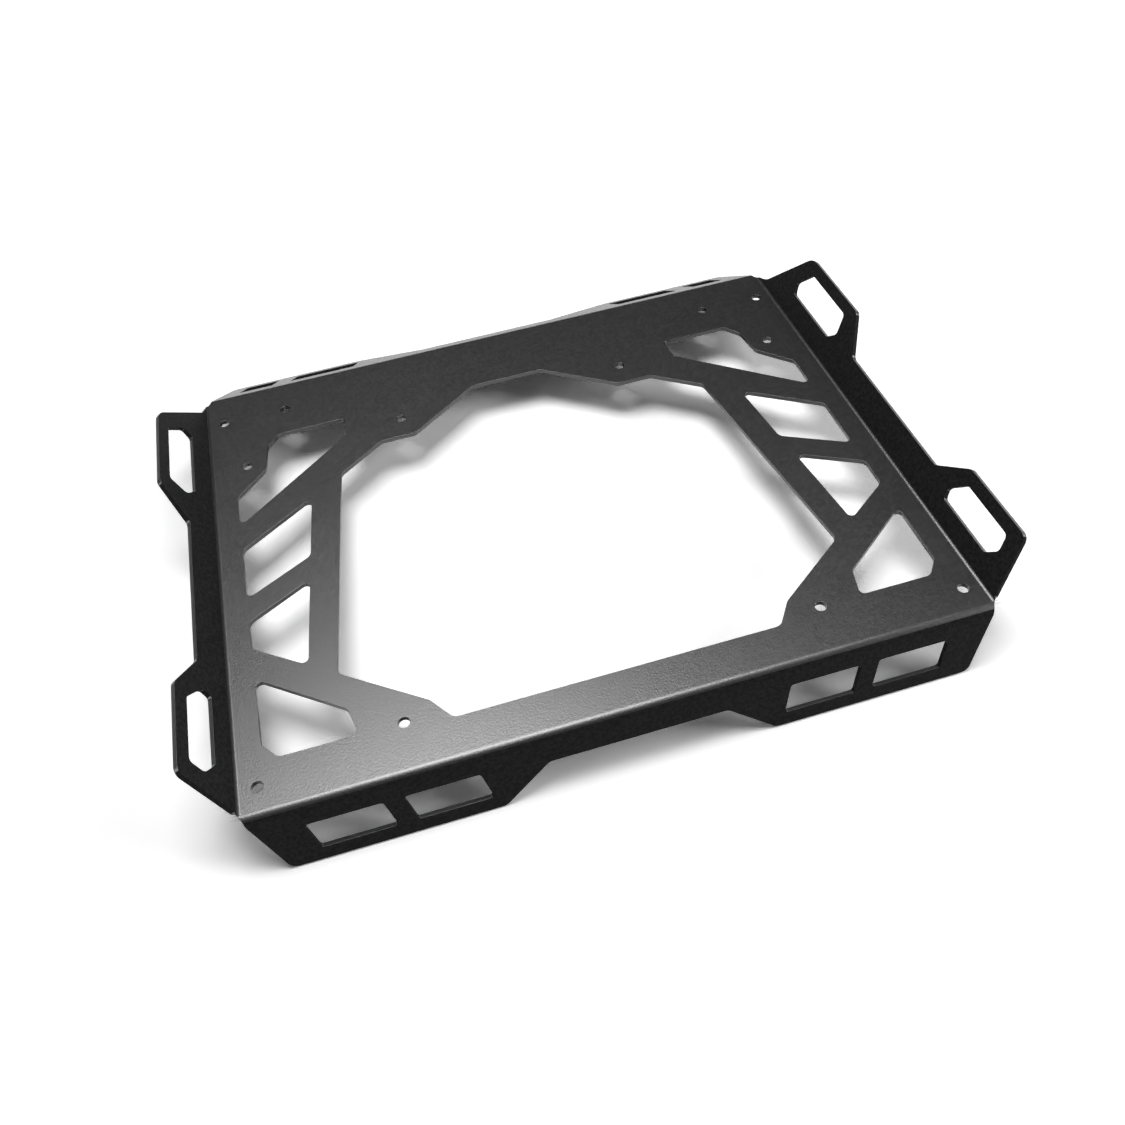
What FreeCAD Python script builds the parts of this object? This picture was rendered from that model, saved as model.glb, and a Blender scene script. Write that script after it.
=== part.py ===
import FreeCAD, Part
import Sketcher
import math
import os

# Luggage rack plate for the tail of a motorcycle: one laser-cut sheet, folded on a press brake.
# Frame: X across the motorcycle, Y towards its rear, Z up. The origin lies on the underside of
# the deck, midway between the four corner bolt holes.

V = FreeCAD.Vector
doc = FreeCAD.newDocument("luggage_rack")
os.makedirs("parts", exist_ok=True)

# Driving dimensions in millimetres, angles in degrees
SIZES = {
    # sheet and folds
    "sheet": 3.0,
    "bend_inside": 3.0,
    "wing_angle": 60.0,
    "front_angle": 75.0,
    "rear_angle": 30.0,
    # bolt holes: the pattern of the four corner holes
    "bolt_hole": 6.6,
    "corner_across": 400.0,
    "corner_along": 298.0,
    # fold lines, out from the corner holes: the upper faces on both sides of a fold meet there
    "hole_to_side": 11.0,
    "hole_to_front": 18.5,
    "hole_to_rear": 28.0,
    # other bolt holes, in from the side fold and back from the nearer end fold
    "inner_hole_in": 54.0,
    "side_hole_in": 23.5,
    "side_hole_back": 78.5,
    "middle_hole_in": 131.5,
    "middle_hole_back": 67.5,
    "front_hole_in": 91.0,
    "front_hole_back": 32.5,
    # strips of deck between the folds and the openings, and the rounds of all openings
    "side_strip": 15.0,
    "cutout_rear": 53.0,
    "cutout_front": 33.0,
    "opening_rear": 51.0,
    "opening_shoulder": 85.5,
    "opening_front": 27.3,
    "tight_round": 3.0,
    "wide_round": 6.0,
    # how far flanges and wings end before the fold line that crosses theirs
    "front_flange_end": 2.6,
    "rear_flange_end": 3.2,
    "wing_front_end": 6.7,
    "wing_rear_end": 7.5,
    # tips of the deck's corners, back from the fold lines, and where the slanted corner line
    # leaves the end of the side fold's round, out from the side fold line
    "front_tip_in": 0.8,
    "front_tip_back": 2.9,
    "rear_tip_in": 2.1,
    "rear_tip_back": 2.0,
    "corner_start": 1.6,
    # lashing wings: reach from the side fold in the plane of the wing, and places along Y from
    # the nearer end fold
    "wing_narrow": 20.8,
    "rear_ear_reach": 43.0,
    "rear_ear_back": 48.0,
    "rear_ear_length": 68.5,
    "rear_ear_round": 12.0,
    "heel_reach": 4.6,
    "heel_back": 15.1,
    "front_ear_reach": 36.9,
    "front_ear_back": 18.8,
    "front_ear_length": 55.9,
    "ear_slope": 22.0,
    "ear_rim": 7.8,
    "rear_slot_near": 15.3,
    "rear_slot_point": 22.0,
    "front_slot_near": 12.4,
    "wing_slot_round": 3.5,
    # flanges: reach from their fold down the outer face, and places along X
    "flange_notch": 18.5,
    "flange_reach": 41.2,
    "leg_in": 15.5,
    "notch_slope": 27.4,
    "front_leg_rim": 5.4,
    "rear_leg_rim": 0.3,
    "flange_slot_top": 13.6,
    "flange_slot_foot": 32.4,
    "flange_slot_lean": 4.3,
    "flange_slot_round": 2.0,
    "front_slot_in": 18.1,
    "front_slot_gap": 10.8,
    "front_slot_length": 41.6,
    "rear_slot_in": 10.7,
    "rear_slot_gap": 14.1,
    "rear_inner_length": 47.1,
    "rear_outer_length": 23.8,
}

# Corners of the openings in the right half of the deck. Each place is given across and along as
# a line of the deck and how far in from it, and then comes the round. From the middle it is out.
CUTOUTS = {
    "rear_cutout": [
        ("side", 93.8, "rear", "cutout_rear", "tight_round"),
        ("side", 47.4, "rear", "cutout_rear", "wide_round"),
        ("side", 38.3, "rear", 64.0, "wide_round"),
        ("side", 35.5, "rear", 85.8, "wide_round"),
        ("side", "side_strip", "rear", 107.0, "wide_round"),
        ("side", "side_strip", "rear", 133.7, "tight_round"),
        ("side", 91.7, "rear", 71.2, "tight_round"),
    ],
    "second_cutout": [
        ("side", 62.3, "middle", 53.3, "tight_round"),
        ("side", "side_strip", "middle", 21.6, "wide_round"),
        ("side", "side_strip", "middle", -19.3, "tight_round"),
        ("side", 55.9, "middle", 2.7, "wide_round"),
    ],
    "third_cutout": [
        ("side", 53.4, "middle", -16.6, "tight_round"),
        ("side", "side_strip", "middle", -37.7, "wide_round"),
        ("side", "side_strip", "middle", -58.1, "wide_round"),
        ("side", 45.3, "middle", -80.0, "tight_round"),
    ],
    "front_cutout": [
        ("side", "side_strip", "front", 87.2, "tight_round"),
        ("side", 62.8, "front", 50.8, "wide_round"),
        ("side", 66.5, "front", "cutout_front", "tight_round"),
        ("side", 23.2, "front", "cutout_front", "wide_round"),
        ("side", "side_strip", "front", 43.3, "wide_round"),
    ],
}
MAIN_OPENING = {
    "opening": [
        ("middle", 0, "rear", "opening_rear", None),
        ("middle", 25.0, "rear", "opening_rear", "wide_round"),
        ("side", 138.3, "rear", "opening_shoulder", "wide_round"),
        ("side", 114.5, "rear", "opening_shoulder", "wide_round"),
        ("side", 83.7, "rear", 108.0, "wide_round"),
        ("side", 60.6, "front", 76.3, "wide_round"),
        ("side", 107.0, "front", 42.2, "wide_round"),
        ("side", 117.3, "front", "opening_front", "wide_round"),
        ("middle", 0, "front", "opening_front", None),
    ],
}


class Size:
    """A length as a formula on the sheet of sizes, with its present value for drawing."""

    def __init__(self, formula, number):
        self.formula = formula
        self.number = float(number)

    def __add__(self, other):
        return Size("(%s + %s)" % (self.formula, other.formula), self.number + other.number)

    def __sub__(self, other):
        return Size("(%s - %s)" % (self.formula, other.formula), self.number - other.number)

    def __neg__(self):
        return Size("(0 - %s)" % self.formula, -self.number)

    def times(self, factor):
        return Size("(%s * %s)" % (self.formula, factor), self.number * factor)


sheet = doc.addObject("Spreadsheet::Sheet", "sizes")
cells = {}


def cell(name, number):
    """Writes one driving dimension into the sheet under its own name."""
    place = "B%d" % (len(cells) + 1)
    sheet.set("A%d" % (len(cells) + 1), name)
    sheet.set(place, repr(float(number)))
    sheet.setAlias(place, name)
    cells[name] = Size("sizes." + name, number)
    return cells[name]


for name, number in SIZES.items():
    cell(name, number)
ZERO = Size("0", 0)

# Fold lines, carried by the pattern of the corner holes
half_across = cells["corner_across"].times(0.5)
half_along = cells["corner_along"].times(0.5)
side_fold = half_across + cells["hole_to_side"]
front_fold = half_along + cells["hole_to_front"]
rear_fold = half_along + cells["hole_to_rear"]


def entry(value, name):
    """A table entry as a Size: a name is looked up, a number other than zero gets a cell."""
    if isinstance(value, str):
        return cells[value]
    if value == 0:
        return ZERO
    return cell(name, value)


def inward(line, distance):
    """The place that lies a distance in from a fold line of the deck, or out from its middle."""
    if line == "side":
        return side_fold - distance
    if line == "rear":
        return rear_fold - distance
    if line == "front":
        return distance - front_fold
    return distance


def deck_corners(table):
    """The tables of corners with their numbers in the sheet, named after the outline and corner."""
    ready = {}
    for name, corners in table.items():
        ready[name] = []
        for letter, (across, x, along, y, r) in zip("abcdefghi", corners):
            x_place = inward(across, entry(x, "%s_x_%s" % (name, letter)))
            y_place = inward(along, entry(y, "%s_y_%s" % (name, letter)))
            ready[name].append((x_place, y_place, cells[r] if r else None))
    return ready


cutout_corners = deck_corners(CUTOUTS)
opening_corners = deck_corners(MAIN_OPENING)
doc.recompute()

# Bend radii and the lines where the rounds of the folds begin
inside = cells["bend_inside"]
outside = cells["sheet"] + inside


def setback(radius, angle):
    """How far the round of a fold begins before the line where its two faces would meet."""
    half = SIZES[angle] / 2
    formula = "(%s * tan(sizes.%s / 2))" % (radius.formula, angle)
    return Size(formula, radius.number * math.tan(math.radians(half)))


wing_back = setback(inside, "wing_angle")
front_back = setback(outside, "front_angle")
rear_back = setback(outside, "rear_angle")
deck_side = side_fold - wing_back
deck_front = front_fold - front_back
deck_rear = rear_fold - rear_back
deck_length = deck_front + deck_rear
front_side = side_fold - cells["front_flange_end"]
rear_side = side_fold - cells["rear_flange_end"]
wing_front = front_fold - cells["wing_front_end"]
wing_rear = rear_fold - cells["wing_rear_end"]

body = doc.addObject("PartDesign::Body", "carrier_plate")
body.Label = "carrier plate"


def origin_plane(role):
    for feature in body.Origin.OriginFeatures:
        if feature.Role == role:
            return feature
    raise RuntimeError("no plane " + role)


def new_sketch(name, role):
    sketch = body.newObject("Sketcher::SketchObject", name)
    sketch.AttachmentSupport = [(origin_plane(role), "")]
    sketch.MapMode = "FlatFace"
    return sketch


def place_point(sketch, geometry, point, x, y):
    """Ties a point to the origin of its sketch, across and along."""
    for kind, axis, size in (("DistanceX", -2, x), ("DistanceY", -1, y)):
        if size is ZERO:
            sketch.addConstraint(Sketcher.Constraint("PointOnObject", geometry, point, axis))
            continue
        i = sketch.addConstraint(Sketcher.Constraint(kind, -1, 1, geometry, point, size.number))
        sketch.setExpression("Constraints[%d]" % i, size.formula)


def set_radius(sketch, curve, radius):
    i = sketch.addConstraint(Sketcher.Constraint("Radius", curve, radius.number))
    sketch.setExpression("Constraints[%d]" % i, radius.formula)


def outline(sketch, corners):
    """A closed outline of straight edges through the corners (x, y, round). A corner with a round
    gets a tangent arc, and its own place stays as a construction point on both edges."""
    count = len(corners)
    P = [V(x.number, y.number, 0) for x, y, r in corners]
    ends = []
    for i in range(count):
        radius = corners[i][2]
        if radius is None:
            ends.append((P[i], P[i], None))
            continue
        back = (P[i - 1] - P[i]).normalize()
        ahead = (P[(i + 1) % count] - P[i]).normalize()
        half = back.getAngle(ahead) / 2
        reach = radius.number / math.tan(half)
        centre = P[i] + (back + ahead).normalize() * (radius.number / math.sin(half))
        ends.append((P[i] + back * reach, P[i] + ahead * reach, centre))
    edges = []
    for i in range(count):
        line = Part.LineSegment(ends[i][1], ends[(i + 1) % count][0])
        edges.append(sketch.addGeometry(line, False))
    for i in range(count):
        x, y, radius = corners[i]
        start, end, centre = ends[i]
        if radius is None:
            sketch.addConstraint(Sketcher.Constraint("Coincident", edges[i - 1], 2, edges[i], 1))
            place_point(sketch, edges[i], 1, x, y)
            continue
        left_turn = (start - centre).cross(end - centre).z > 0
        first, last = (start, end) if left_turn else (end, start)
        from_angle = math.atan2(first.y - centre.y, first.x - centre.x)
        to_angle = math.atan2(last.y - centre.y, last.x - centre.x)
        circle = Part.Circle(centre, V(0, 0, 1), radius.number)
        arc = sketch.addGeometry(Part.ArcOfCircle(circle, from_angle, to_angle), False)
        near, far = (1, 2) if left_turn else (2, 1)
        sketch.addConstraint(Sketcher.Constraint("Tangent", edges[i - 1], 2, arc, near))
        sketch.addConstraint(Sketcher.Constraint("Tangent", arc, far, edges[i], 1))
        set_radius(sketch, arc, radius)
        corner = sketch.addGeometry(Part.Point(P[i]), True)
        sketch.addConstraint(Sketcher.Constraint("PointOnObject", corner, 1, edges[i - 1]))
        sketch.addConstraint(Sketcher.Constraint("PointOnObject", corner, 1, edges[i]))
        place_point(sketch, corner, 1, x, y)


def pad(name, sketch, length, backwards=False):
    feature = body.newObject("PartDesign::Pad", name)
    feature.Profile = sketch
    feature.Length = length.number
    feature.setExpression("Length", length.formula)
    feature.Reversed = backwards
    sketch.Visibility = False
    return feature


through_sheet = cells["sheet"].times(2)


def cut_through(name, sketch, deck_cut=True, depth=through_sheet):
    """Cuts through the sheet: up from the underside of the deck, or down from a tilted upper face."""
    feature = body.newObject("PartDesign::Pocket", name)
    feature.Profile = sketch
    feature.Length = depth.number
    feature.setExpression("Length", depth.formula)
    feature.Reversed = deck_cut
    sketch.Visibility = False
    return feature


# Deck: the flat middle of the sheet up to the rounds of its folds, drawn as its right half
deck = new_sketch("deck_outline", "XY_Plane")
outline(deck, [
    (ZERO, -deck_front, None),
    (deck_side, -deck_front, None),
    (deck_side, deck_rear, None),
    (ZERO, deck_rear, None),
])
pad("deck", deck, cells["sheet"])


def fold(name, role, centre_x, centre_y, quarter, angle, length, offset):
    """The round of a fold: a ring sector between the inner and outer bend radius, padded along the
    fold. It starts at the deck, square to it, on the side that quarter gives, and turns by angle."""
    sketch = new_sketch(name + "_section", role)
    C = V(centre_x.number, centre_y.number, 0)
    # a fold up starts below its centre and turns left, a fold down starts above its centre
    start = -90 if quarter[1] > 0 else 90
    turn = quarter[0] * quarter[1]
    stop = start + turn * SIZES[angle]
    low, high = sorted((math.radians(start), math.radians(stop)))
    first, last = (1, 2) if turn > 0 else (2, 1)
    arcs = []
    for radius in (inside, outside):
        circle = Part.Circle(C, V(0, 0, 1), radius.number)
        arc = sketch.addGeometry(Part.ArcOfCircle(circle, low, high), False)
        set_radius(sketch, arc, radius)
        arcs.append(arc)
    sketch.addConstraint(Sketcher.Constraint("Coincident", arcs[0], 3, arcs[1], 3))
    place_point(sketch, arcs[0], 3, centre_x, centre_y)
    ends = []
    for degrees, point in ((start, first), (stop, last)):
        ray = V(math.cos(math.radians(degrees)), math.sin(math.radians(degrees)), 0)
        line = Part.LineSegment(C + ray * inside.number, C + ray * outside.number)
        ends.append(sketch.addGeometry(line, False))
        sketch.addConstraint(Sketcher.Constraint("Coincident", ends[-1], 1, arcs[0], point))
        sketch.addConstraint(Sketcher.Constraint("Coincident", ends[-1], 2, arcs[1], point))
    sketch.addConstraint(Sketcher.Constraint("Vertical", ends[0]))
    one, two = ends if turn > 0 else ends[::-1]
    bend = Sketcher.Constraint("Angle", one, 1, two, 1, math.radians(SIZES[angle]))
    i = sketch.addConstraint(bend)
    sketch.setExpression("Constraints[%d]" % i, "sizes.%s * 1 deg" % angle)
    if offset is not ZERO:
        sketch.AttachmentOffset = FreeCAD.Placement(V(0, 0, offset.number), FreeCAD.Rotation())
        sketch.setExpression("AttachmentOffset.Base.z", offset.formula)
    return pad(name, sketch, length, backwards=offset is not ZERO)


fold_end = side_fold + outside
fold("side_fold_round", "XZ_Plane", deck_side, outside, (1, 1), "wing_angle", deck_length, deck_front)
fold("front_fold_round", "YZ_Plane", -deck_front, -inside, (-1, -1), "front_angle", fold_end, ZERO)
fold("rear_fold_round", "YZ_Plane", deck_rear, -inside, (1, -1), "rear_angle", fold_end, ZERO)

# Corners of the blank: seen from above, two slanted lines that meet in the corner's tip take off
# the ends of both rounds, so that the wing and the flange fold free of each other.
past_rounds = outside.times(2)
past_side = side_fold + past_rounds
corner_line_end = side_fold + cells["corner_start"]


def sine(radius, angle):
    """How far the round of a fold reaches past the line where it begins."""
    number = radius.number * math.sin(math.radians(SIZES[angle]))
    return Size("(%s * sin(sizes.%s))" % (radius.formula, angle), number)


def corner_cut(end, end_fold, wing_end, deck_end, flange_x, side):
    """Cuts the outside of one corner; end is front or rear, with side -1 or 1."""
    sketch = new_sketch(end + "_corner_lines", "XY_Plane")
    tip_x = side_fold - cells[end + "_tip_in"]
    tip_y = end_fold - cells[end + "_tip_back"]
    flange_y = deck_end + sine(outside, end + "_angle")
    past_y = deck_end + past_rounds
    outline(sketch, [
        (past_side, wing_end.times(side), None),
        (corner_line_end, wing_end.times(side), None),
        (tip_x, tip_y.times(side), None),
        (flange_x, flange_y.times(side), None),
        (flange_x, past_y.times(side), None),
        (past_side, past_y.times(side), None),
    ])
    feature = cut_through(end + "_corner_cut", sketch, depth=past_rounds.times(2))
    feature.SideType = "Symmetric"


corner_cut("front", front_fold, wing_front, deck_front, front_side, -1)
corner_cut("rear", rear_fold, wing_rear, deck_rear, rear_side, 1)


def tilted(name, axis, angle, x, y):
    """A sketch on the upper face of a wing or flange, its origin on the fold line."""
    sketch = new_sketch(name, "XY_Plane")
    base = V(x.number, y.number, SIZES["sheet"])
    sketch.AttachmentOffset = FreeCAD.Placement(base, FreeCAD.Rotation(axis, SIZES[angle]))
    sketch.setExpression("AttachmentOffset.Base.x", x.formula)
    sketch.setExpression("AttachmentOffset.Base.y", y.formula)
    sketch.setExpression("AttachmentOffset.Base.z", "sizes.sheet")
    sketch.setExpression("AttachmentOffset.Rotation.Angle", "sizes." + angle)
    return sketch


def on_wing(name):
    return tilted(name, V(0, -1, 0), "wing_angle", side_fold, ZERO)


def on_front_flange(name):
    return tilted(name, V(1, 0, 0), "front_angle", ZERO, -front_fold)


def on_rear_flange(name):
    return tilted(name, V(-1, 0, 0), "rear_angle", ZERO, rear_fold)


# Side wing: folded up, low in the middle and rising to two ears that carry the strap slots
wide = cells["wide_round"]
narrow = cells["wing_narrow"]
slope = cells["ear_slope"]
rear_reach = cells["rear_ear_reach"]
rear_ear_end = rear_fold - cells["rear_ear_back"]
rear_ear_start = rear_ear_end - cells["rear_ear_length"]
front_reach = cells["front_ear_reach"]
front_ear_end = front_fold - cells["front_ear_back"]
front_ear_start = front_ear_end - cells["front_ear_length"]
wing = on_wing("wing_outline")
outline(wing, [
    (wing_back, wing_rear, None),
    (wing_back, -wing_front, None),
    (front_reach, -front_ear_end, wide),
    (front_reach, -front_ear_start, wide),
    (narrow, slope - front_ear_start, wide),
    (narrow, rear_ear_start - slope, wide),
    (rear_reach, rear_ear_start, wide),
    (rear_reach, rear_ear_end, cells["rear_ear_round"]),
    (cells["heel_reach"], rear_fold - cells["heel_back"], cells["tight_round"]),
])
pad("wing", wing, cells["sheet"], backwards=True)

# Strap slots of the ears, six-sided, pointed at both ends: how far each corner reaches, and how
# far in from the start or the end of the ear it is. The start is the side near the other ear.
POINTED_SLOTS = {
    "rear_ear_slot": [
        ("rear_slot_near", "start", 11.0),
        ("rear_slot_point", "start", 4.0),
        ("rear_slot_far", "start", 9.0),
        ("rear_slot_far", "end", 10.0),
        ("rear_slot_point", "end", -1.0),
        ("rear_slot_near", "end", 3.5),
    ],
    "front_ear_slot": [
        ("front_slot_near", "end", 12.2),
        (19.5, "end", 5.7),
        ("front_slot_far", "end", 9.2),
        ("front_slot_far", "start", 6.2),
        (18.5, "start", -3.5),
        ("front_slot_near", "start", -0.8),
    ],
}
cells["rear_slot_far"] = rear_reach - cells["ear_rim"]
cells["front_slot_far"] = front_reach - cells["ear_rim"]
EARS = {
    "rear_ear_slot": (rear_ear_start, rear_ear_end, 1),
    "front_ear_slot": (front_ear_start, front_ear_end, -1),
}
for name, corners in POINTED_SLOTS.items():
    ear_start, ear_end, side = EARS[name]
    slot_corners = []
    for letter, (reach, ear_side, distance) in zip("abcdef", corners):
        into = entry(distance, "%s_y_%s" % (name, letter))
        y = ear_start + into if ear_side == "start" else ear_end - into
        reached = entry(reach, "%s_x_%s" % (name, letter))
        slot_corners.append((reached, y.times(side), cells["wing_slot_round"]))
    slot = on_wing(name)
    outline(slot, slot_corners)
    cut_through(name + "_cut", slot, deck_cut=False)

# Front flange: folded down steeply, with a wide notch in the middle between two legs. Each leg
# carries two strap slots, placed from the leg's outer corner inwards.
reach = cells["flange_reach"]
notch = cells["flange_notch"]
leg_end = side_fold - cells["leg_in"]
front_length = cells["front_slot_length"]
front_outer_slot = leg_end - cells["front_slot_in"] - front_length
front_inner_slot = front_outer_slot - cells["front_slot_gap"] - front_length
front_leg_start = front_inner_slot - cells["front_leg_rim"]
notch_end = front_leg_start - cells["notch_slope"]
flange = on_front_flange("front_flange_outline")
outline(flange, [
    (ZERO, -front_back, None),
    (ZERO, -notch, None),
    (notch_end, -notch, wide),
    (front_leg_start, -reach, wide),
    (leg_end, -reach, wide),
    (front_side, -front_back, None),
])
pad("front_flange", flange, cells["sheet"], backwards=True)

# Rear flange: the same blank, folded down by a shallow angle, its legs begin further out
rear_outer_slot = leg_end - cells["rear_slot_in"] - cells["rear_outer_length"]
rear_inner_slot = rear_outer_slot - cells["rear_slot_gap"] - cells["rear_inner_length"]
rear_leg_start = rear_inner_slot - cells["rear_leg_rim"]
flange = on_rear_flange("rear_flange_outline")
outline(flange, [
    (ZERO, rear_back, None),
    (rear_side, rear_back, None),
    (leg_end, reach, wide),
    (rear_leg_start, reach, wide),
    (notch_end, notch, wide),
    (ZERO, notch, None),
])
pad("rear_flange", flange, cells["sheet"], backwards=True)


def leaning_slot(sketch, foot, length, side):
    """A strap slot whose ends lean outwards towards the fold. foot is its inner corner's place
    along the flange, and side is -1 on the front flange and 1 on the rear one."""
    slot_top = cells["flange_slot_top"].times(side)
    slot_foot = cells["flange_slot_foot"].times(side)
    lean = cells["flange_slot_lean"]
    small = cells["flange_slot_round"]
    outline(sketch, [
        (foot, slot_foot, small),
        (foot + length, slot_foot, small),
        (foot + length + lean, slot_top, small),
        (foot + lean, slot_top, small),
    ])


slots = on_front_flange("front_flange_slots")
for foot in (front_inner_slot, front_outer_slot):
    leaning_slot(slots, foot, front_length, -1)
cut_through("front_slots_cut", slots, deck_cut=False)
slots = on_rear_flange("rear_flange_slots")
leaning_slot(slots, rear_inner_slot, cells["rear_inner_length"], 1)
leaning_slot(slots, rear_outer_slot, cells["rear_outer_length"], 1)
cut_through("rear_slots_cut", slots, deck_cut=False)

# Main opening in the middle of the deck, wide at the front and narrow at the rear
opening = new_sketch("main_opening", "XY_Plane")
for corners in opening_corners.values():
    outline(opening, corners)
cut_through("main_opening_cut", opening)

# Four cut-outs along each side of the deck: their slanted edges leave diagonal struts between them
cutouts = new_sketch("side_cutouts", "XY_Plane")
for corners in cutout_corners.values():
    outline(cutouts, corners)
cut_through("side_cutouts_cut", cutouts)

# Bolt holes of the right half: the corner pair, then inner rear, side, middle and front hole
holes = new_sketch("bolt_holes", "XY_Plane")
HOLES = [
    (half_across, half_along),
    (half_across, -half_along),
    (side_fold - cells["inner_hole_in"], half_along),
    (side_fold - cells["side_hole_in"], rear_fold - cells["side_hole_back"]),
    (side_fold - cells["middle_hole_in"], rear_fold - cells["middle_hole_back"]),
    (side_fold - cells["front_hole_in"], cells["front_hole_back"] - front_fold),
]
hole_radius = cells["bolt_hole"].times(0.5)
for x, y in HOLES:
    rim = Part.Circle(V(x.number, y.number, 0), V(0, 0, 1), hole_radius.number)
    circle = holes.addGeometry(rim, False)
    place_point(holes, circle, 3, x, y)
    set_radius(holes, circle, hole_radius)
hole_cut = cut_through("bolt_holes_cut", holes)
doc.recompute()
taken = hole_cut.BaseFeature.Shape.Volume - hole_cut.Shape.Volume
expected = len(HOLES) * math.pi * hole_radius.number ** 2 * SIZES["sheet"]
if abs(taken - expected) > 0.01 * expected:
    raise RuntimeError("the bolt holes took %.1f mm3, not %.1f" % (taken, expected))

# The left half is the mirror image of the right half
mirror = body.newObject("PartDesign::Mirrored", "left_half")
mirror.TransformMode = "Whole shape"
mirror.MirrorPlane = (origin_plane("YZ_Plane"), [""])
body.Tip = mirror
doc.recompute()

for thing in doc.Objects:
    if "Invalid" in thing.State or "Error" in thing.State:
        raise RuntimeError("%s is %s" % (thing.Name, thing.State))
shape = body.Shape
if shape.isNull() or not shape.isValid() or len(shape.Solids) != 1:
    raise RuntimeError("the plate is not one valid solid")
print("volume", round(shape.Volume, 1), "mm3,", shape.BoundBox)
shape.exportStep("parts/carrier_plate.step")
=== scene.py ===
import math

import bmesh
import bpy
from mathutils import Matrix, Quaternion, Vector


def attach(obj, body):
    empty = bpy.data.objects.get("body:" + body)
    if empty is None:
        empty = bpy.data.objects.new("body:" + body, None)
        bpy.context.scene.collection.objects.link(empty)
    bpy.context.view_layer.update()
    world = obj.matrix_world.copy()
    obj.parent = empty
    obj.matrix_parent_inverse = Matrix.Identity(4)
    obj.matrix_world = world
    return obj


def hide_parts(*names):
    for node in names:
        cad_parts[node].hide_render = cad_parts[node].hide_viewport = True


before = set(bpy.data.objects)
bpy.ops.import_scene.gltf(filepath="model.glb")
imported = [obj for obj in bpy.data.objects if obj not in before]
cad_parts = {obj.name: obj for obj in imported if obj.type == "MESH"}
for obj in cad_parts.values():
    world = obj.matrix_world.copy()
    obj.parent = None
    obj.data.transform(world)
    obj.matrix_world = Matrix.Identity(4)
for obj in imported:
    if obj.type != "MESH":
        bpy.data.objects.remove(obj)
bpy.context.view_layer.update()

# Carrier plate. The real piece is one aluminium sheet, 3 mm thick, laser-cut with its openings
# and bolt holes and folded on a press brake: two lashing wings up, a flange down at each end.
# The cut edges are broken by tumbling before the coat goes on, so each carries a small round.
MM = 0.001
EDGE_BREAK = 0.25 * MM
EDGE_BREAK_STEPS = 2
SHARP_EDGE = math.radians(30)
# Neighbouring triangles of one flat face differ by less than this, facets of a bend by more
SAME_FACE = math.radians(0.5)
WELD = 0.02 * MM
# At fifty the faces that meet at a corner pull its normal by their area alone
NEUTRAL_WEIGHT = 50

cad_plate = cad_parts["carrier_plate"]
plate_mesh = cad_plate.data.copy()
plate_mesh.name = "coated_plate"
shape = bmesh.new()
shape.from_mesh(plate_mesh)
bmesh.ops.remove_doubles(shape, verts=shape.verts, dist=WELD)
bmesh.ops.dissolve_limit(shape, angle_limit=SAME_FACE, verts=shape.verts, edges=shape.edges)
for face in shape.faces:
    face.smooth = True
shape.to_mesh(plate_mesh)
shape.free()
plate = bpy.data.objects.new("coated_plate", plate_mesh)
bpy.context.scene.collection.objects.link(plate)
edge_round = plate.modifiers.new("edge_break", "BEVEL")
edge_round.width = EDGE_BREAK
edge_round.segments = EDGE_BREAK_STEPS
edge_round.limit_method = "ANGLE"
edge_round.angle_limit = SHARP_EDGE
# Clamped, the round would shrink to the short sides of the facets in bends and corners
edge_round.use_clamp_overlap = False
flat_shading = plate.modifiers.new("flat_shading", "WEIGHTED_NORMAL")
flat_shading.mode = "FACE_AREA"
flat_shading.weight = NEUTRAL_WEIGHT
flat_shading.keep_sharp = False


# Its coat is an epoxy-polyester powder, sprayed on and baked to a black film about 0.08 mm thick.
# The melted grains leave a fine, even orange peel that turns a lamp's reflection into a soft
# sheen with a speckle. The folded sides and the cut walls get copies of the coat with less
# reflection than the deck: painted shade that sets their tones.
def linear(hex_colour):
    """An sRGB hex colour as linear red, green, blue and alpha: each part c becomes c / 12.92
    near black, and ((c + 0.055) / 1.055) to the power 2.4 above that."""
    parts = [int(hex_colour[i:i + 2], 16) / 255 for i in (1, 3, 5)]
    bright = [c / 12.92 if c <= 0.04045 else ((c + 0.055) / 1.055) ** 2.4 for c in parts]
    return (*bright, 1.0)


def add(tree, kind, links=None, **settings):
    """Adds a node with its settings. links maps an input's name or place to a socket or a value."""
    node = tree.nodes.new(kind)
    for name, value in settings.items():
        setattr(node, name, value)
    for name, value in (links or {}).items():
        if isinstance(value, bpy.types.NodeSocket):
            tree.links.new(value, node.inputs[name])
        else:
            node.inputs[name].default_value = value
    return node


def empty_material(name):
    """A new material without nodes, and its node tree."""
    material = bpy.data.materials.new(name)
    material.use_nodes = True
    material.node_tree.nodes.clear()
    return material, material.node_tree


# The real peel and speckle are some tenths of a millimetre wide. A pixel of the picture covers
# 0.55 to 0.75 mm of the plate, so both are drawn coarser, to show. The peel's height is matched
# to the grain of the sheen. The film's thickness drifts over some centimetres.
PEEL = 1.1 * MM
PEEL_HEIGHT = 0.09 * MM
SPECKLE = 2.0 * MM
FILM_DRIFT = 60 * MM
# Most of the speckle's noise lies in this range, and of its sum with the film's in the next one
SPECKLE_LOW, SPECKLE_HIGH = 0.35, 0.65
FILM_LOW, FILM_HIGH = 0.3, 1.7
# A clear baked resin has about 1.5. The strength of the deck's sheen asks for more.
COAT_IOR = 1.8
# Places of the two colours among the inputs of a Mix node, and of their mix among its outputs
MIX_FIRST, MIX_SECOND, MIX_RESULT = 6, 7, 2


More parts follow.
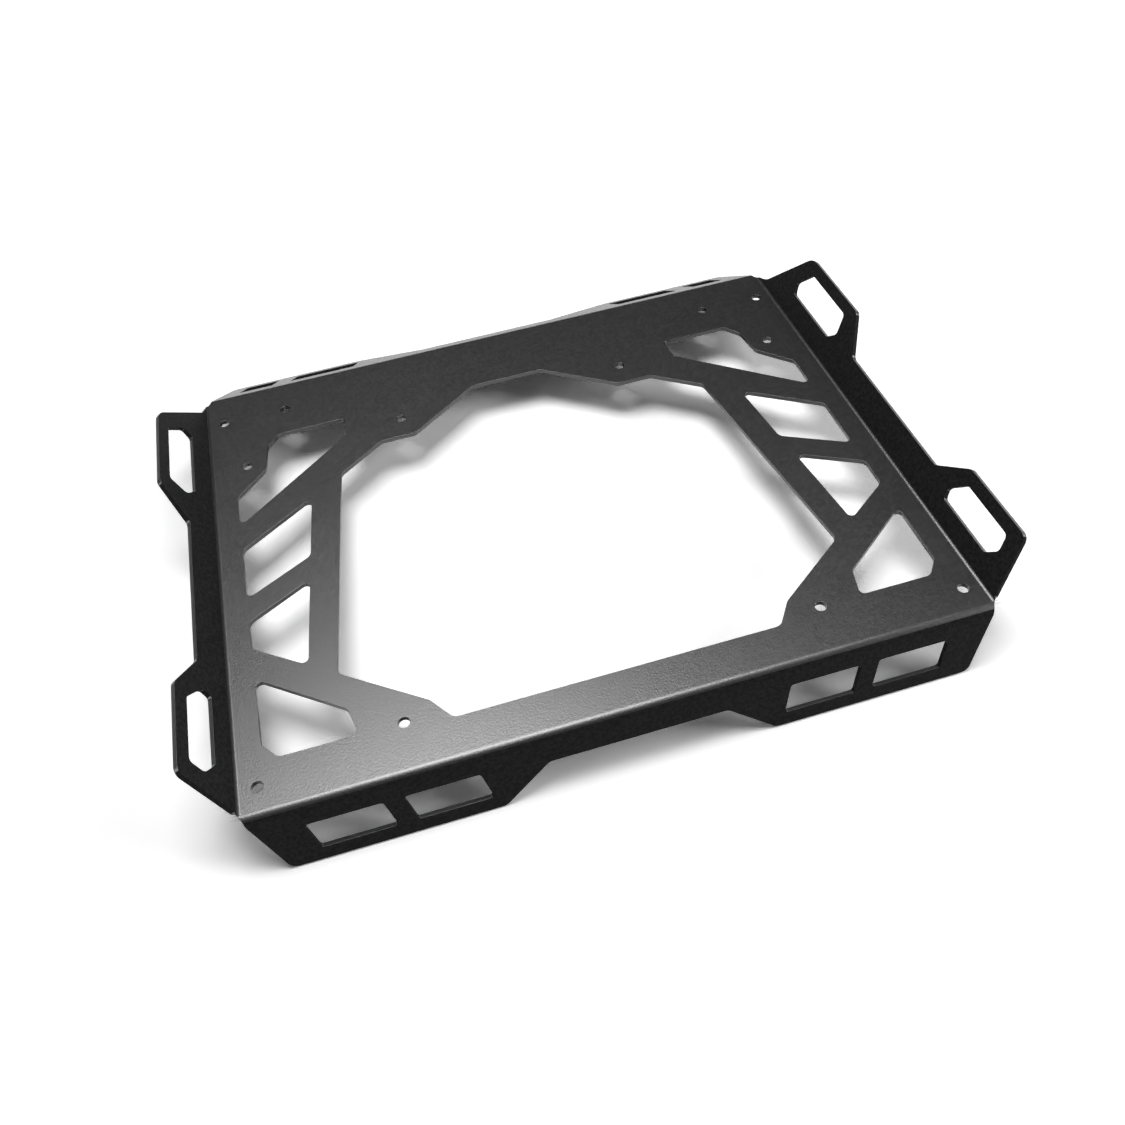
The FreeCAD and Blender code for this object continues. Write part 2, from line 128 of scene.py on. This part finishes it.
def powder_coat(name, colour_low, colour_high, gloss, rough_low, rough_high):
    """Black powder coat. Its colour is the mix of two colours by the speckle. Its roughness is
    the sum of the film's drift and the speckle, laid out from rough_low to rough_high. Its bump
    is PEEL_HEIGHT times the peel's noise. gloss is the specular level."""
    material, tree = empty_material(name)
    place = add(tree, "ShaderNodeTexCoord").outputs["Object"]
    peel = add(tree, "ShaderNodeTexNoise", {
        "Vector": place, "Scale": 1 / PEEL, "Detail": 3.0, "Roughness": 0.65,
    })
    noise = add(tree, "ShaderNodeTexNoise", {
        "Vector": place, "Scale": 1 / SPECKLE, "Detail": 1.0, "Roughness": 0.5,
    })
    speckle = add(tree, "ShaderNodeMapRange", {
        "Value": noise.outputs["Fac"], "From Min": SPECKLE_LOW, "From Max": SPECKLE_HIGH,
    })
    drift = add(tree, "ShaderNodeTexNoise", {
        "Vector": place, "Scale": 1 / FILM_DRIFT, "Detail": 4.0, "Roughness": 0.6,
    })
    colour = add(tree, "ShaderNodeMix", {
        "Factor": speckle.outputs[0],
        MIX_FIRST: linear(colour_low),
        MIX_SECOND: linear(colour_high),
    }, data_type="RGBA")
    film = add(tree, "ShaderNodeMath", {
        0: drift.outputs["Fac"], 1: speckle.outputs[0],
    }, operation="ADD")
    rough = add(tree, "ShaderNodeMapRange", {
        "Value": film.outputs[0], "From Min": FILM_LOW, "From Max": FILM_HIGH,
        "To Min": rough_low, "To Max": rough_high,
    })
    bump = add(tree, "ShaderNodeBump", {
        "Height": peel.outputs["Fac"], "Strength": 1.0, "Distance": PEEL_HEIGHT,
    })
    shader = add(tree, "ShaderNodeBsdfPrincipled", {
        "Base Color": colour.outputs[MIX_RESULT],
        "Roughness": rough.outputs[0],
        "Specular IOR Level": gloss,
        "IOR": COAT_IOR,
        "Normal": bump.outputs["Normal"],
    })
    add(tree, "ShaderNodeOutputMaterial", {"Surface": shader.outputs["BSDF"]})
    return material


# The coat itself, on the deck and the shallow flange: a satin sheen with a grain, which follows the
# softbox
deck_coat = powder_coat("black_powder_coat", "#18181a", "#1f1f20",
                        gloss=1.0, rough_low=0.31, rough_high=0.36)
# Painted shade and light: the same coat with its reflection taken away and a lighter base, on the
# wings and the steep flange, so that they come out at their dark tone
side_coat_painted_shade = powder_coat("black_powder_coat_painted_shade_sides", "#202021", "#2a2a2b",
                        gloss=0.01, rough_low=0.34, rough_high=0.42)
# Painted shade: the same coat with about half its reflection, on the cut walls, so that it draws
# only a grey line along the openings
wall_coat_painted_shade = powder_coat("black_powder_coat_painted_shade_walls", "#18181a", "#1f1f20",
                        gloss=0.45, rough_low=0.31, rough_high=0.36)
DECK, SIDE, CUT_WALL = range(3)
plate_mesh.materials.clear()
for coat in (deck_coat, side_coat_painted_shade, wall_coat_painted_shade):
    plate_mesh.materials.append(coat)

# Which copy of the coat a face gets, and so its painted shade, goes by how far it points up or
# down: the coat itself on the deck and the shallow flange, the dimmed copy on the deck's cut walls,
# and the copy without reflection on the wings and the steep flange
DECK_RISE = math.cos(math.radians(45))
CUT_WALL_RISE = 0.05
for polygon in plate_mesh.polygons:
    rise = abs(polygon.normal.z)
    if rise > DECK_RISE:
        polygon.material_index = DECK
    elif rise < CUT_WALL_RISE:
        polygon.material_index = CUT_WALL
    else:
        polygon.material_index = SIDE
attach(plate, "root")
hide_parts("carrier_plate")

# Floor. A wide sheet of white studio paper, which isn't part of the object. The plate stands on
# it with the feet of its two flanges, on which the deck leans by 2.57 degrees, so the paper
# tilts by as much in the plate's own frame. The place and height are those of the front feet.
LEAN = math.radians(2.57)
FOOT_HEIGHT = -37.57 * MM
FOOT_PLACE = -175.26 * MM
PAPER_HALF = 12.0
# Matt white paper. It lights the plate as white paper does, but the camera and the reflections
# see it brighter, so that it's plain white with the plate's shadow on it. Further off, where the
# lamps hardly reach, it fades to plain white between these two distances.
PAPER_WHITE = 0.95
PAPER_SEEN = 1.35
FADE_START = 0.7
FADE_END = 1.3
PLAIN_WHITE = (1, 1, 1, 1)

floor_mesh = bpy.data.meshes.new("studio_floor")
corners = []
for side, end in ((-1, -1), (1, -1), (1, 1), (-1, 1)):
    x = side * PAPER_HALF
    y = end * PAPER_HALF
    corners.append((x, y, FOOT_HEIGHT + (y - FOOT_PLACE) * math.tan(LEAN)))
floor_mesh.from_pydata(corners, [], [(0, 1, 2, 3)])
floor = bpy.data.objects.new("studio_floor", floor_mesh)
bpy.context.scene.collection.objects.link(floor)
paper, tree = empty_material("white_studio_paper")
path = add(tree, "ShaderNodeLightPath")
seen = add(tree, "ShaderNodeMath", {
    0: path.outputs["Is Camera Ray"], 1: path.outputs["Is Glossy Ray"],
}, operation="MAXIMUM")
white = add(tree, "ShaderNodeMapRange", {
    "Value": seen.outputs[0], "To Min": PAPER_WHITE, "To Max": PAPER_SEEN,
})
matt = add(tree, "ShaderNodeBsdfDiffuse", {"Color": white.outputs[0]})
place = add(tree, "ShaderNodeTexCoord").outputs["Object"]
away = add(tree, "ShaderNodeVectorMath", {0: place}, operation="LENGTH")
faded = add(tree, "ShaderNodeMapRange", {
    "Value": away.outputs["Value"], "From Min": FADE_START, "From Max": FADE_END,
    "To Max": seen.outputs[0],
})
plain = add(tree, "ShaderNodeEmission", {"Color": PLAIN_WHITE, "Strength": 1.0})
sheet = add(tree, "ShaderNodeMixShader", {
    "Fac": faded.outputs[0], 1: matt.outputs["BSDF"], 2: plain.outputs["Emission"],
})
add(tree, "ShaderNodeOutputMaterial", {"Surface": sheet.outputs[0]})
floor_mesh.materials.append(paper)


# Lamps. A large softbox hangs nearly overhead and gives the deck's sheen, the bright line along
# the front bend and most of the light. A second one stands low at the right and a weak third one
# at the left, and they fill the shadows. Together they bring white paper close to plain white.
def softbox(name, elevation, azimuth, roll, distance, width, height, irradiance):
    """A rectangular lamp that faces the plate. Azimuth turns from the plate's rear to its right,
    and roll turns the lamp about its own axis, in degrees. Lengths are in metres. Its power is
    irradiance times pi times the square of the distance, and white paper that faces it renders
    as irradiance over pi."""
    data = bpy.data.lights.new(name, "AREA")
    data.shape = "RECTANGLE"
    data.size = width
    data.size_y = height
    data.energy = irradiance * math.pi * distance ** 2
    lamp = bpy.data.objects.new(name, data)
    up, round_to = math.radians(elevation), math.radians(azimuth)
    towards = Vector((
        math.sin(round_to) * math.cos(up),
        math.cos(round_to) * math.cos(up),
        math.sin(up),
    ))
    lamp.location = towards * distance
    lamp.rotation_mode = "QUATERNION"
    facing = towards.to_track_quat("Z", "Y")
    lamp.rotation_quaternion = facing @ Quaternion((0, 0, 1), math.radians(roll))
    bpy.context.scene.collection.objects.link(lamp)


softbox("top_softbox", elevation=80.5, azimuth=-16, roll=21.7, distance=2.36,
        width=1.15, height=1.65, irradiance=2.35)
softbox("right_softbox", elevation=26, azimuth=108, roll=0, distance=2.0,
        width=0.9, height=0.7, irradiance=1.5)
softbox("left_softbox", elevation=22, azimuth=-100, roll=0, distance=2.0,
        width=0.8, height=0.8, irradiance=0.35)

# World. The studio round the paper is dark, with a little stray light. Only the camera sees it
# plain white, as it does the far paper. The plate has no bare metal or glass, and the sheen on
# its coat mirrors a dark room in the photograph, so reflections see the dark studio.
STRAY_LIGHT = 0.05
SEEN_WHITE = 1.0

world = bpy.data.worlds.new("studio_world")
bpy.context.scene.world = world
world.use_nodes = True
tree = world.node_tree
tree.nodes.clear()
path = add(tree, "ShaderNodeLightPath")
strength = add(tree, "ShaderNodeMapRange", {
    "Value": path.outputs["Is Camera Ray"], "To Min": STRAY_LIGHT, "To Max": SEEN_WHITE,
})
room = add(tree, "ShaderNodeBackground", {"Color": PLAIN_WHITE, "Strength": strength.outputs[0]})
add(tree, "ShaderNodeOutputWorld", {"Surface": room.outputs[0]})

# Camera. It stands where the photograph was taken from. Its place, turn and focal length come
# from a fit of the plate's edges to the photograph, which is 1125 pixels wide.
PICTURE = 1125
FOCAL_PIXELS = 1014.954
SENSOR = 36.0
# A rotation vector in radians and a shift in millimetres, from the fit's axes to the camera's,
# which run right, down and ahead
ROTATION = Vector((2.4023220291, -0.3664317248, 0.0301701342))
SHIFT = Vector((-6.4038663829, -42.5518307267, 644.7393643386))
# The fit's origin, in millimetres, on the deck's upper face
FIT_ORIGIN = Vector((0, 1.05, 3.0))
CLIP_NEAR = 0.01
CLIP_FAR = 50

turn = Matrix.Rotation(ROTATION.length, 3, ROTATION.normalized())
camera_data = bpy.data.cameras.new("photo_camera")
camera_data.sensor_width = SENSOR
camera_data.lens = FOCAL_PIXELS / PICTURE * SENSOR
camera_data.clip_start = CLIP_NEAR
camera_data.clip_end = CLIP_FAR
camera = bpy.data.objects.new("photo_camera", camera_data)
camera.matrix_world = (turn.transposed() @ Matrix.Diagonal((1, -1, -1))).to_4x4()
camera.location = (turn.transposed() @ -SHIFT + FIT_ORIGIN) * MM
bpy.context.scene.collection.objects.link(camera)
bpy.context.scene.camera = camera
bpy.context.scene.view_settings.view_transform = "Standard"
